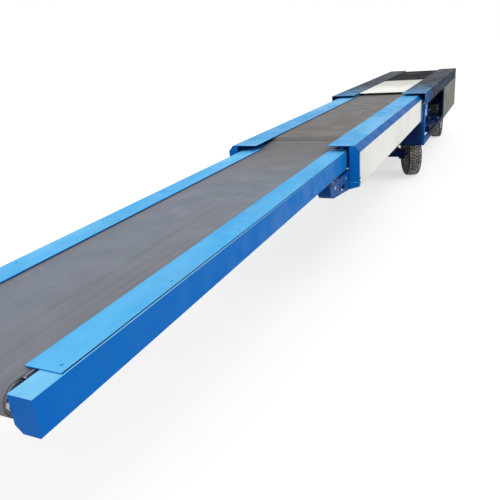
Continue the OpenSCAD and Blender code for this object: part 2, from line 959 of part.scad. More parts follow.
module middle_carry_rollers() {
    play = bracket_t + roller_play;
    color(steel)
        both_sides()
            translate([carry_x, 0, carry_z])
                union() {
                    round_y(carry_r, [bracket_y[0] + play, bracket_y[1] - play]);
                    round_y(pin_r, bracket_y);
                }
}
middle_wheel_in = 80;
wheel_clear = 4;
wheel_edge = 6;
module middle_rear_wheels() {
    z = rail_low + wall_t + rail_slot_h / 2;
    x = middle_tail_x + middle_wheel_in;
    color(steel)
        both_sides()
            translate([x, 0, z])
                union() {
                    round_y(middle_wheel_r, [rail_in - wheel_edge, base_half_w - wall_t - wheel_clear]);
                    round_y(pin_r, [middle_half_w, rail_in - wheel_edge]);
                }
}

// Boom
boom_belt_z = boom_top - belt_depth + bed_t;
head_in = 5;
head_x = tip_x - head_r - belt_t - head_in;
head_z = boom_belt_z - head_r;
boom_low_z = head_z - head_r - belt_t;
ramp_rise = 22;
ramp_l = 350;
ramp_x = boom_tail_x + ramp_l;
tail_roller_in = 4;
tail_roller_r = (boom_belt_z + ramp_rise - boom_low_z - belt_t) / 2;
tail_roller_x = boom_tail_x + tail_roller_r + belt_t + tail_roller_in;
tail_roller_z = boom_low_z + belt_t + tail_roller_r;
module boom_beams() {
    y0 = beam_y;
    y1 = boom_half_w;
    z0 = boom_z;
    z1 = boom_top - cover_t;
    color(blue)
        both_sides()
            difference() {
                slab([boom_tail_x, tip_x], [y0, y1], [z0, z1]);
                slab([boom_tail_x - 1, tip_x - beam_bevel - beam_t], [y0 + beam_t, y1 - beam_t],
                    [z0 + beam_t, z1 - beam_t]);
                slab([boom_tail_x - 1, tip_x - beam_t], [y0 + beam_bevel + beam_t, y1 - beam_t],
                    [z0 + beam_t, z1 - beam_t]);
                along_x([tip_x - beam_bevel, tip_x + 1])
                    polygon([
                        [y0 - 1, z0 - 1], [y0 + beam_bevel, z0 - 1], [y0 - 1, z0 + beam_bevel]
                    ]);
            }
}
cover_ledge = 8;
module boom_covers() {
    color(sky)
        both_sides()
            slab([ramp_x, tip_x - bare_tip], [cover_y, boom_half_w - cover_ledge],
                [boom_top - cover_t, boom_top]);
}
bed_stop = 25;
module boom_bed() {
    color(steel)
        bed([ramp_x, head_x - bed_stop], boom_top);
}
// Cross members of the boom, each the distance of its centre behind the tip
boom_cross_first = 420;
boom_cross_last = boom_l - 300;
boom_cross_in = [for (i = [0 : 4]) boom_cross_first + i * (boom_cross_last - boom_cross_first) / 4];
boom_cross_gap = 25;
boom_cross_half = 25;
boom_cross_h = 40;
module boom_cross_members() {
    z = boom_low_z + belt_t + boom_cross_gap;
    half = boom_cross_half;
    bore = half - wall_t;
    color(dark_blue)
        for (d = boom_cross_in)
            difference() {
                slab([tip_x - d - half, tip_x - d + half], [-beam_y, beam_y], [z, z + boom_cross_h]);
                slab([tip_x - d - bore, tip_x - d + bore], [-beam_y - 1, beam_y + 1],
                    [z + wall_t, z + boom_cross_h - wall_t]);
            }
}
module boom_belt() {
    c = [head_x, head_z];
    t = [tail_roller_x, tail_roller_z];
    rise = ramp_rise;
    color(belt_grey)
        along_y([-belt_y, belt_y])
            polygon(concat(
                arc(c, head_r + belt_t, -90, 90),
                [[ramp_x, boom_belt_z + belt_t], [t[0], boom_belt_z + belt_t + rise],
                    [t[0], boom_belt_z + rise], [ramp_x, boom_belt_z]],
                arc(c, head_r, 90, -90)
            ));
}
module boom_return_belt() {
    c = [tail_roller_x, tail_roller_z];
    color(belt_grey)
        along_y([-belt_y, belt_y])
            polygon(concat(
                [[head_x, boom_low_z], [head_x, boom_low_z + belt_t]],
                arc(c, tail_roller_r, 270, 90), arc(c, tail_roller_r + belt_t, 90, 270)
            ));
}
head_edge = 6;
module head_drum() {
    color(steel)
        translate([head_x, 0, head_z])
            roller(head_r - seat_gap, belt_y + head_edge, beam_y - seat_gap);
}
bearing_x = [-42, 34];
bearing_half = 34;
bearing_w = 14;
module head_bearings() {
    color(dark_blue)
        both_sides()
            difference() {
                slab([head_x + bearing_x[0], head_x + bearing_x[1]], [beam_y - bearing_w, beam_y],
                    [head_z - bearing_half, head_z + bearing_half]);
                translate([head_x, 0, head_z])
                    round_y(shaft_r + fit_gap, [beam_y - bearing_w - 1, beam_y + 1]);
            }
}
module boom_rear_roller() {
    color(steel)
        translate([tail_roller_x, 0, tail_roller_z])
            roller(tail_roller_r - seat_gap, belt_y + head_edge, beam_y - seat_gap);
}
boom_wheel_in = 70;
boom_wheel_gap = 0.5;
boom_wheel_w = 36;
boom_pin_r = 13;
module boom_rear_wheels() {
    z = wall_top - wall_t - boom_wheel_r - boom_wheel_gap;
    x = boom_tail_x + boom_wheel_in;
    y = wall_in + wheel_edge;
    color(steel)
        both_sides()
            translate([x, 0, z])
                union() {
                    round_y(boom_wheel_r, [y, y + boom_wheel_w]);
                    round_y(boom_pin_r, [boom_half_w, y]);
                }
}

base_top_rails();
base_bottom_rails();
base_posts();
base_covers();
base_panels();
base_tail_plate();
transition_plate();
base_bed();
base_belt();
base_belt_drop();
base_return_belt();
tail_drums();
drum_side_plates();
chassis();
counterweight();
extension_motor();
extension_gearbox();
control_box();
base_carry_rollers();
base_roller_brackets();
front_axle();
rear_axle();
tow_clevis();
knuckle_left();
knuckle_right();
tie_rod();
wheel_tyre(0);  // tyre_front_left
wheel_rim(0);  // rim_front_left
wheel_tyre(1);  // tyre_front_right
wheel_rim(1);  // rim_front_right
wheel_tyre(2);  // tyre_rear_left
wheel_rim(2);  // rim_rear_left
wheel_tyre(3);  // tyre_rear_right
wheel_rim(3);  // rim_rear_right
middle_walls();
middle_covers();
middle_panels();
middle_cross_members();
middle_bed();
middle_belt();
middle_belt_drop();
middle_return_belt();
middle_belt_rollers();
middle_end_plates();
middle_front_brackets();
middle_carry_rollers();
middle_rear_wheels();
boom_beams();
boom_covers();
boom_bed();
boom_cross_members();
boom_belt();
boom_return_belt();
head_drum();
head_bearings();
boom_rear_roller();
boom_rear_wheels();
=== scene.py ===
import json
import math

import bmesh
import bpy
from mathutils import Matrix, Vector


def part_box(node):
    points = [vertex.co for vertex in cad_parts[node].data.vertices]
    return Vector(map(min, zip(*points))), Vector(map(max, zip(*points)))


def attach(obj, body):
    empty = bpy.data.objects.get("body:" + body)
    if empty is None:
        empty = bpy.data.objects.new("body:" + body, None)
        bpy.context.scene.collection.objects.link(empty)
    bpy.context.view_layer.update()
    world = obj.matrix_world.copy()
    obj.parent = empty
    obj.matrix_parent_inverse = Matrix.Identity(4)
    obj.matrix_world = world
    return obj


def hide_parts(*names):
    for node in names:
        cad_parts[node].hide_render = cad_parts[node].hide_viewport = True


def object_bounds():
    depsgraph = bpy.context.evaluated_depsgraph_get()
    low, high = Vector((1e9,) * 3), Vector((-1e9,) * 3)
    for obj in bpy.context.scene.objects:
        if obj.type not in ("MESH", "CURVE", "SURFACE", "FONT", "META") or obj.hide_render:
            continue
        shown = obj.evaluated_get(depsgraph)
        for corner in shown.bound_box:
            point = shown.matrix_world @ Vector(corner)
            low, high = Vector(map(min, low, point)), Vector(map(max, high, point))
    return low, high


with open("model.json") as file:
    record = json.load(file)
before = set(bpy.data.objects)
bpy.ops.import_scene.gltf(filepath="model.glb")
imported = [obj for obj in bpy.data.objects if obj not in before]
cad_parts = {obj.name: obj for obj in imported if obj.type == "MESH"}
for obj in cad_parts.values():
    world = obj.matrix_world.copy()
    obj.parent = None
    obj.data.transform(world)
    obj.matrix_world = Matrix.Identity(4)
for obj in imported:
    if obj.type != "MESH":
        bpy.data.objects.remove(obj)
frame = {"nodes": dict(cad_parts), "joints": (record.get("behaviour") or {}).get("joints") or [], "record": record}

cad_low, cad_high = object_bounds()
nodes = frame["nodes"]
joints = {j["name"]: j for j in frame["joints"]}
node_slots = {s["node"]: s["material_slot"] for s in frame["record"]["subparts"]}


# Materials


def linear(red, green, blue):
    """An sRGB colour from 0 to 255 as the linear colour that a shader takes."""

    def one(c):
        c /= 255
        return c / 12.92 if c <= 0.04045 else ((c + 0.055) / 1.055) ** 2.4

    return (one(red), one(green), one(blue), 1.0)


class Graph:
    """A material with its node tree, and one call for each kind of node."""

    def __init__(self, name, metallic=0.0, specular=0.5):
        self.material = bpy.data.materials.new(name)
        self.material.use_nodes = True
        self.tree = self.material.node_tree
        self.shader = self.tree.nodes["Principled BSDF"]
        self.shader.inputs["Metallic"].default_value = metallic
        self.shader.inputs["Specular IOR Level"].default_value = specular
        self.place = self.add("ShaderNodeTexCoord").outputs["Object"]
        self.normal = self.add("ShaderNodeNewGeometry").outputs["Normal"]

    def add(self, kind, **settings):
        node = self.tree.nodes.new(kind)
        for key, value in settings.items():
            setattr(node, key, value)
        return node

    def feed(self, socket, value):
        if isinstance(value, bpy.types.NodeSocket):
            self.tree.links.new(value, socket)
        else:
            socket.default_value = value

    def part(self, vector, axis):
        """One component of a vector, with axis 0, 1 or 2."""
        node = self.add("ShaderNodeSeparateXYZ")
        self.feed(node.inputs[0], vector)
        return node.outputs[axis]

    def noise(self, scale, detail=3.0, roughness=0.55, stretch=(1, 1, 1)):
        mapping = self.add("ShaderNodeMapping")
        self.feed(mapping.inputs["Vector"], self.place)
        mapping.inputs["Scale"].default_value = stretch
        node = self.add("ShaderNodeTexNoise")
        self.feed(node.inputs["Vector"], mapping.outputs[0])
        node.inputs["Scale"].default_value = scale
        node.inputs["Detail"].default_value = detail
        node.inputs["Roughness"].default_value = roughness
        return node.outputs["Fac"]

    def span(self, value, low, high, to_low=0.0, to_high=1.0):
        """Maps value from low..high to to_low..to_high, held at both ends."""
        node = self.add("ShaderNodeMapRange", interpolation_type="SMOOTHSTEP")
        self.feed(node.inputs["Value"], value)
        limits = {"From Min": low, "From Max": high, "To Min": to_low, "To Max": to_high}
        for key, number in limits.items():
            node.inputs[key].default_value = number
        return node.outputs[0]

    def math(self, operation, a, b=0.0):
        node = self.add("ShaderNodeMath", operation=operation)
        self.feed(node.inputs[0], a)
        self.feed(node.inputs[1], b)
        return node.outputs[0]

    def mix(self, factor, a, b):
        """Mixes two colours; 6, 7 and 2 are the node's colour sockets."""
        node = self.add("ShaderNodeMix", data_type="RGBA")
        self.feed(node.inputs[0], factor)
        self.feed(node.inputs[6], a)
        self.feed(node.inputs[7], b)
        return node.outputs[2]

    def bump(self, height, distance, strength, under=None):
        node = self.add("ShaderNodeBump")
        node.inputs["Distance"].default_value = distance
        node.inputs["Strength"].default_value = strength
        self.feed(node.inputs["Height"], height)
        if under is not None:
            self.feed(node.inputs["Normal"], under)
        return node.outputs[0]

    def finish(self, colour, roughness, normal):
        self.feed(self.shader.inputs["Base Color"], colour)
        self.feed(self.shader.inputs["Roughness"], roughness)
        self.feed(self.shader.inputs["Normal"], normal)
        return self.material


DUST = linear(150, 140, 125)
# Radians per metre of the belt's fabric print, which repeats about every 5 mm
PRINT = 1250


def paint(
    name, colour, worn, dirt=0.3, top=None, top_dust=0.15, roughness=0.42, specular=0.07, end=None
):
    """Sprayed paint on sheet steel: sun-faded patches, run-down dirt, settled dust, orange peel.
    top holds the two colours of a painted highlight on the upward faces, painted lighter for the light from above.
    end is (colour, x where the change starts, x where it ends), along the machine."""
    g = Graph(name, specular=specular)
    tone = g.mix(g.span(g.noise(1.1, 4), 0.38, 0.68), colour, worn)
    upward = g.part(g.normal, 2)
    # Painted highlight: the upward faces turn to the lighter top colours, which stand in for the light from above
    if top is not None:
        painted_top_light = g.mix(g.span(g.noise(1.7, 5, stretch=(0.5, 1.5, 1)), 0.35, 0.7), top[0], top[1])
        tone = g.mix(g.span(upward, 0.8, 0.98), tone, painted_top_light)
    # Colour that changes along the machine; on the base and its white plate this is painted shade, darker towards
    # the rear
    if end is not None:
        far, start, stop = end
        wave = g.math("ADD", g.part(g.place, 0), g.span(g.noise(2.0, 3), 0.3, 0.7, -0.15, 0.15))
        tone = g.mix(g.span(wave, stop, start, 1.0, 0.0), tone, far)
    runs = g.span(g.noise(4.0, 5, stretch=(5, 5, 0.6)), 0.5, 0.78, 0.0, dirt)
    tone = g.mix(runs, tone, linear(60, 66, 72))
    specks = g.span(g.noise(48, 4, 0.7), 0.62, 0.8, 0.0, dirt)
    tone = g.mix(specks, tone, DUST)
    lying = g.span(upward, 0.7, 1.0, 0.0, top_dust)
    settled = g.math("MULTIPLY", lying, g.span(g.noise(2.6, 6), 0.4, 0.75))
    tone = g.mix(settled, tone, DUST)
    shine = g.span(g.noise(9, 5), 0.3, 0.75, roughness - 0.08, roughness + 0.18)
    ripple = g.bump(g.noise(2.2, 2), 0.004, 0.35)
    return g.finish(tone, shine, g.bump(g.noise(420, 2), 0.0004, 0.25, ripple))


def belt(name, colour, worn, dark=None):
    """Belt of fabric and rubber: tracks along X, scuffs, dust and a fine fabric print.
    dark is (colour, x where the change starts, x where it ends), for a stretch of another colour with less gloss:
    painted shade on the base belt, a browner tint on the boom belt."""
    g = Graph(name, specular=0.3)
    tone = g.mix(g.span(g.noise(1.0, 4, stretch=(0.5, 2.5, 1)), 0.35, 0.7), colour, worn)
    tracks = g.span(g.noise(3.0, 6, 0.65, stretch=(0.12, 9, 1)), 0.42, 0.72, 0.0, 0.34)
    tone = g.mix(tracks, tone, linear(96, 94, 96))
    chalk = g.span(g.noise(7.0, 8, 0.7, stretch=(0.5, 2, 1)), 0.56, 0.8, 0.0, 0.28)
    tone = g.mix(chalk, tone, linear(176, 178, 180))
    edge = g.span(g.math("ABSOLUTE", g.part(g.place, 1)), 0.25, 0.3, 0.0, 0.3)
    tone = g.mix(edge, tone, linear(108, 108, 110))
    specks = g.span(g.noise(130, 3, 0.6), 0.62, 0.75, 0.0, 0.4)
    tone = g.mix(specks, tone, linear(74, 74, 78))
    if dark is not None:
        far, start, stop = dark
        shade = g.span(g.part(g.place, 0), stop, start, 1.0, 0.0)
        tone = g.mix(shade, tone, far)
        g.feed(g.shader.inputs["Specular IOR Level"], g.span(shade, 0.0, 1.0, 0.3, 0.05))
    print_x = g.math("SINE", g.math("MULTIPLY", g.part(g.place, 0), PRINT))
    print_y = g.math("SINE", g.math("MULTIPLY", g.part(g.place, 1), PRINT))
    print_height = g.math("MULTIPLY", print_x, print_y)
    wear = g.bump(g.noise(60, 5), 0.0012, 0.35)
    shine = g.span(g.noise(5, 4), 0.3, 0.7, 0.55, 0.8)
    return g.finish(tone, shine, g.bump(print_height, 0.0004, 0.3, wear))


def metal(name, colour, stain, roughness=0.34, stretch=(1, 14, 1)):
    """Bare or plated steel with turning marks and stains."""
    g = Graph(name, metallic=0.9)
    tone = g.mix(g.span(g.noise(9, 5), 0.45, 0.75, 0.0, 0.75), colour, stain)
    marks = g.noise(26, 6, 0.7, stretch=stretch)
    shine = g.span(marks, 0.3, 0.7, roughness - 0.1, roughness + 0.16)
    return g.finish(tone, shine, g.bump(marks, 0.0006, 0.25))


def tyre_rubber(name):
    """Tyre rubber: near black on the sides, with dried dust on the tread's blocks."""
    g = Graph(name)
    x, z = g.part(g.place, 0), g.part(g.place, 2)
    radius = g.math("SQRT", g.math("ADD", g.math("MULTIPLY", x, x), g.math("MULTIPLY", z, z)))
    tone = g.mix(g.span(g.noise(14, 5), 0.35, 0.7), linear(30, 33, 36), linear(46, 48, 50))
    film = g.span(g.noise(7, 4), 0.35, 0.7, 0.1, 0.4)
    tone = g.mix(g.math("MULTIPLY", film, g.span(radius, 0.2, 0.25)), tone, linear(88, 84, 82))
    patches = g.span(g.noise(22, 7, 0.7), 0.3, 0.62, 0.35, 1.0)
    tread = g.math("MULTIPLY", g.span(radius, 0.2625, 0.2665), patches)
    mud = g.mix(g.span(g.noise(9, 3), 0.45, 0.6), linear(158, 148, 140), linear(204, 198, 194))
    tone = g.mix(tread, tone, mud)
    return g.finish(tone, 0.82, g.bump(g.noise(160, 4), 0.001, 0.4))


def bare(name, low, high, roughness=0.6):
    """Plain plastic, cast or rough surface with two close tones."""
    g = Graph(name)
    tone = g.mix(g.span(g.noise(12, 5), 0.35, 0.7), low, high)
    specks = g.span(g.noise(70, 4, 0.7), 0.6, 0.8, 0.0, 0.35)
    tone = g.mix(specks, tone, DUST)
    return g.finish(tone, roughness, g.bump(g.noise(90, 4), 0.0012, 0.35))


base_front_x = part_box("base_covers")[1].x
plate_low, plate_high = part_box("transition_plate")
rear_x = cad_low.x

BLUE = linear(0, 106, 198)
BLUE_WORN = linear(4, 118, 204)
SHADE_BLUE = linear(2, 88, 162)
SHADE_WORN = linear(6, 94, 170)
FAR_SHADE_BLUE = linear(8, 28, 58)
# Painted highlight: paler blues for the upward faces, lit from above
SKY_LIT_TOP = linear(54, 156, 216)
SKY_LIT_TOP_PATCH = linear(102, 186, 236)
PALE_SKY_LIT_TOP = linear(150, 218, 248)
WHITE = linear(247, 248, 242)
WHITE_WORN = linear(236, 237, 228)
NAVY = linear(12, 40, 88)
NAVY_WORN = linear(18, 50, 104)

finishes = {
    # Painted highlight on the upward faces of the blue sheet
    "blue_paint": paint(
        "blue_sheet_paint", BLUE, BLUE_WORN, dirt=0.1, top=(PALE_SKY_LIT_TOP, SKY_LIT_TOP_PATCH), top_dust=0.1,
    ),
    # The cover paint is a shaded copy of the blue, with a painted highlight on its tops
    "cover_paint": paint(
        "shaded_sky_lit_cover_paint", SHADE_BLUE, SHADE_WORN, dirt=0.05, top=(SKY_LIT_TOP, SKY_LIT_TOP_PATCH), top_dust=0.08,
    ),
    "white_paint": paint(
        "white_panel_paint", WHITE, WHITE_WORN, dirt=0.05, top_dust=0.2, roughness=0.45,
    ),
    "dark_paint": paint("navy_frame_paint", NAVY, NAVY_WORN, dirt=0.25, top_dust=0.2, roughness=0.5),
    "black_paint": bare("black_paint", linear(22, 24, 28), linear(36, 38, 42)),
    "belt_rubber": belt("grey_belt", linear(114, 124, 138), linear(118, 120, 128)),
    "bright_steel": metal("bright_steel", linear(186, 188, 190), linear(126, 112, 96)),
    "tyre": tyre_rubber("tyre_rubber"),
    "rim_paint": paint(
        "rim_paint", linear(196, 196, 190), linear(176, 174, 166), dirt=0.5, roughness=0.5,
    ),
}
# Painted shade: the base's frame is in the shade blue and darkens further towards the rear
base_frame_paint = paint(
    "base_frame_paint", SHADE_BLUE, SHADE_WORN,
    dirt=0.2, top_dust=0.1, roughness=0.55, specular=0.04,
    end=(FAR_SHADE_BLUE, base_front_x + 0.15, rear_x + 3.1),
)
special = {
    # Painted highlight: lighter top colours for the light from above
    "boom_covers": paint(
        "boom_cover_paint", BLUE, BLUE_WORN, dirt=0.1,
        top=(linear(62, 168, 230), linear(100, 190, 240)), top_dust=0.08,
    ),
    # Painted light and shade: lighter tops for the light from above, the shade blue elsewhere, and painted shade
    # darkening towards the rear
    "base_covers": paint(
        "base_cover_paint", SHADE_BLUE, SHADE_WORN, dirt=0.16,
        top=(linear(62, 132, 182), linear(76, 142, 188)), top_dust=0.08, specular=0.03,
        end=(linear(16, 32, 54), base_front_x + 0.3, rear_x + 2.5),
    ),
    "base_panels": paint(
        "rear_panel_paint", linear(112, 120, 108), linear(96, 104, 94),
        dirt=0.3, top_dust=0.2, roughness=0.5,
    ),
    # Painted shade: the white plate darkens from its front edge towards the rear, as the base does
    "transition_plate": paint(
        "plate_paint", WHITE, WHITE_WORN, dirt=0.1, roughness=0.45,
        end=(linear(182, 182, 174), plate_high.x, plate_low.x - 0.4),
    ),
    "base_top_rails": base_frame_paint,
    "base_bottom_rails": base_frame_paint,
    "base_posts": base_frame_paint,
    "base_tail_plate": base_frame_paint,
    # Painted highlight: the beams' upward faces take the lighter top colours
    "boom_beams": paint(
        "boom_beam_paint", BLUE, linear(2, 112, 200),
        dirt=0.08, top=(PALE_SKY_LIT_TOP, SKY_LIT_TOP_PATCH), top_dust=0.1,
        end=(linear(18, 120, 200), cad_high.x - 0.6, cad_high.x - 3.0),
    ),
    "middle_front_brackets": paint(
        "bracket_paint", linear(6, 66, 130), linear(10, 78, 148), dirt=0.25, top_dust=0.1,
    ),
    # Painted shade: behind the plate the belt turns near black and loses its gloss
    "base_belt": belt(
        "base_belt_rubber", linear(96, 98, 94), linear(90, 88, 82),
        dark=(linear(12, 16, 18), plate_low.x + 0.1, plate_low.x),
    ),
    "boom_belt": belt(
        "boom_belt_rubber", linear(114, 124, 138), linear(118, 120, 128),
        dark=(linear(118, 117, 118), 3.4, 1.5),
    ),
    "middle_belt": belt("middle_belt_rubber", linear(108, 106, 103), linear(104, 98, 95)),
    "tie_rod": metal("tie_rod_steel", linear(120, 120, 122), linear(90, 76, 64), 0.45),
}
zinc = metal("zinc_plate", linear(190, 192, 196), linear(150, 146, 130), 0.3, (1, 1, 1))
dark_bolt = bare("dark_bolt", linear(16, 30, 52), linear(30, 44, 66), 0.45)
black_rubber = bare("black_rubber", linear(20, 21, 23), linear(34, 35, 37), 0.75)

for name, obj in nodes.items():
    obj.data.materials.clear()
    obj.data.materials.append(special.get(name, finishes[node_slots[name]]))


# Rounded edges on the sheet metal and castings

EDGE = {
    "blue_paint": 0.0014, "cover_paint": 0.001, "white_paint": 0.0009,
    "dark_paint": 0.002, "black_paint": 0.003,
}
SPECIAL_EDGE = {"boom_beams": 0.0025, "extension_gearbox": 0.005, "middle_front_brackets": 0.0018}
for name, obj in nodes.items():
    width = SPECIAL_EDGE.get(name, EDGE.get(node_slots[name]))
    if width:
        bevel = obj.modifiers.new("rounded_edges", "BEVEL")
        bevel.width = width
        bevel.segments = 2
        bevel.limit_method = "ANGLE"
        bevel.angle_limit = math.radians(50)
        bevel.harden_normals = False


# Mesh helpers


def facing(point, direction):
    """A place at point whose local Z looks along direction."""
    turn = Vector(direction).to_track_quat("Z", "Y").to_matrix().to_4x4()
    return Matrix.Translation(Vector(point)) @ turn


def turned(bm, place, profile, sides):
    """Adds a turned form; profile is a list of (radius, height) along the place's Z."""
    rings = []
    for radius, height in profile:
        if radius == 0:
            rings.append([bm.verts.new(place @ Vector((0, 0, height)))])
            continue
        ring = []
        for i in range(sides):
            a = 2 * math.pi * i / sides
            corner = Vector((radius * math.cos(a), radius * math.sin(a), height))
            ring.append(bm.verts.new(place @ corner))
        rings.append(ring)
    for low, high in zip(rings, rings[1:]):
        for i in range(sides):
            j = (i + 1) % sides
            # A ring of one point leaves a triangle
            corners = (
                low[i % len(low)], low[j % len(low)], high[j % len(high)], high[i % len(high)],
            )
            corners = list(dict.fromkeys(corners))
            if len(corners) > 2:
                bm.faces.new(corners)
    for ring, flip in ((rings[0], True), (rings[-1], False)):
        if len(ring) > 2:
            bm.faces.new(ring[::-1] if flip else ring)


def bolt(bm, place, size, washer=True):
    """A hexagon bolt head of that width across corners, on its washer."""
    r, base = size / 2, 0.0
    if washer:
        base = 0.14 * size
        turned(bm, place, [(1.15 * r, 0.0), (1.15 * r, 0.8 * base), (1.08 * r, base)], 20)
    head = 0.55 * size
    turned(bm, place, [(r, base), (r, base + 0.82 * head), (0.84 * r, base + head)], 6)


def rivet(bm, place, size, height):
    """A low domed head."""
    r = size / 2
    rings = 3
    angles = [math.pi / 2 * i / rings for i in range(rings)]
    dome = [(r * math.cos(a), height * math.sin(a)) for a in angles]
    turned(bm, place, dome + [(0, height)], 14)


def block(bm, low, high, edge):
    """A box between two corners, with its edges cut back by edge."""
    made = bmesh.ops.create_cube(bm, size=1.0)["verts"]
    low, high = Vector(low), Vector(high)
    for v in made:
        v.co = Vector([low[i] + (v.co[i] + 0.5) * (high[i] - low[i]) for i in range(3)])
    edges = list(dict.fromkeys(e for v in made for e in v.link_edges))
    bmesh.ops.bevel(bm, geom=edges, offset=edge, segments=3, profile=0.5, affect="EDGES")


def piece(name, bm, body, material, place=None, smooth=35.0):
    """Turns the mesh into an object that rides on a body."""
    bmesh.ops.recalc_face_normals(bm, faces=bm.faces)
    mesh = bpy.data.meshes.new(name)
    bm.to_mesh(mesh)
    bm.free()
    mesh.shade_smooth()
    mesh.set_sharp_from_angle(angle=math.radians(smooth))
    obj = bpy.data.objects.new(name, mesh)
    bpy.context.scene.collection.objects.link(obj)
    mesh.materials.append(material)
    if place is not None:
        obj.matrix_world = place
    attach(obj, body)
    return obj


def sheet(bm, near, far):
    """A flat plate between two outlines with the same number of corners."""
    near, far = [bm.verts.new(p) for p in near], [bm.verts.new(p) for p in far]
    bm.faces.new(near)
    bm.faces.new(far[::-1])
    for i in range(len(near)):
        j = (i + 1) % len(near)
        bm.faces.new((near[i], near[j], far[j], far[i]))


def steps(start, stop, pitch):
    """Evenly spaced places from start to stop, about pitch apart."""
    count = max(1, round(abs(stop - start) / pitch))
    return [start + (stop - start) * i / count for i in range(count + 1)]


SIDES = (1, -1)

# Wheels: moulded tyres with tread, nuts, hub caps and valves

tyre_low, tyre_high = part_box("tyre_rear_left")
TYRE_R = (tyre_high.z - tyre_low.z) / 2
TYRE_HALF = (tyre_high.y - tyre_low.y) / 2
BEAD_R, BEAD_IN = 0.118, 0.028
SHOULDER_R = 0.034
CROWN_DROP = 0.0008
TREAD_DEPTH = 0.009
TREAD_PITCHES = 44
TREAD_SKEW = 0.75
GROOVES = (0.011, 0.037)
GROOVE_HALF = 0.003
GROOVE_WALL = 0.001


def tyre_rows():
    """The tyre's section from bead to bead: y, radius, inward direction and kind of each row.
    Kinds are side, block for what the cross grooves cut, rib for what they leave, and groove."""
    half = TYRE_HALF
    # Distance in from the widest point, and height above the bead
    side = [
        (BEAD_IN, 0.0), (BEAD_IN - 0.011, 0.009), (0.008, 0.017), (0.0055, 0.024), (0.0045, 0.03),
        (0.003, 0.032), (0.0022, 0.04), (0.003, 0.042), (0.0016, 0.055), (0.0, 0.062), (0.0, 0.078),
        (0.0018, 0.081), (0.0018, 0.095), (0.0, 0.098), (0.0, 0.108),
    ]
    side = [(half - inset, BEAD_R + rise) for inset, rise in side]
    rows = [(y, r, (0, -1), "side") for y, r in side]
    centre_y, centre_r = half - SHOULDER_R, TYRE_R - SHOULDER_R
    for degrees in (14, 26, 30, 44, 58, 70, 78):
        a = math.radians(degrees)
        kind = "side" if degrees < 28 else "block"
        across, up = math.cos(a), math.sin(a)
        y, r = centre_y + SHOULDER_R * across, centre_r + SHOULDER_R * up
        rows.append((y, r, (-across, -up), kind))
    edge_y = rows[-1][0]

    def crown(y):
        return TYRE_R - CROWN_DROP * (y / edge_y) ** 2

    for middle in reversed(GROOVES):
        wide, narrow = middle + GROOVE_HALF, middle - GROOVE_HALF
        edges = (
            (wide + GROOVE_WALL, "block"), (wide, "groove"),
            (narrow, "groove"), (narrow - GROOVE_WALL, "block"),
        )
        for y, kind in edges:
            kind = "rib" if kind == "block" and y < GROOVES[0] else kind
            rows.append((y, crown(y), (0, -1), kind))
    mirrored = [(-y, r, (-d[0], d[1]), kind) for y, r, d, kind in rows]
    return rows + mirrored[::-1]


def tyre_mesh():
    """One tyre about the local Y axis."""
    bm = bmesh.new()
    pitch = 2 * math.pi / TREAD_PITCHES
    columns = [(0.0, True), (0.24, True), (0.29, False), (0.6, False), (0.95, False)]
    rows = tyre_rows()
    grid = []
    for y, r, inward, kind in rows:
        ring = []
        skew = TREAD_SKEW * pitch * abs(y) / TYRE_HALF + (0.5 * pitch if y < 0 else 0.0)
        for n in range(TREAD_PITCHES):
            for share, cut in columns:
                a = (n + share) * pitch + skew
                deep = 0.0
                if kind == "groove":
                    deep = TREAD_DEPTH
                elif kind == "block" and cut:
                    deep = 0.8 * TREAD_DEPTH
                radius = r + inward[1] * deep
                point = (radius * math.cos(a), y + inward[0] * deep, radius * math.sin(a))
                ring.append(bm.verts.new(point))
        grid.append(ring)
    count = len(grid[0])
    for a, b in zip(grid, grid[1:]):
        for i in range(count):
            j = (i + 1) % count
            bm.faces.new((a[i], a[j], b[j], b[i]))
    first, last = grid[0], grid[-1]
    for i in range(count):
        j = (i + 1) % count
        bm.faces.new((first[j], first[i], last[i], last[j]))
    return bm


def wheel_place(spin):
    """The wheel's centre, with local Y pointing out of the machine."""
    joint = joints[spin]
    centre, axis = Vector(joint["pos_m"]), Vector(joint["axis"]).normalized()
    outward = axis if axis.y * centre.y > 0 else -axis
    up = Vector((0, 0, 1))
    across = outward.cross(up)
    return Matrix.Translation(centre) @ Matrix((across, outward, up)).transposed().to_4x4()


NUT_CIRCLE_R = 0.078
NUT_Y = 0.0205
HUB_END = 0.044
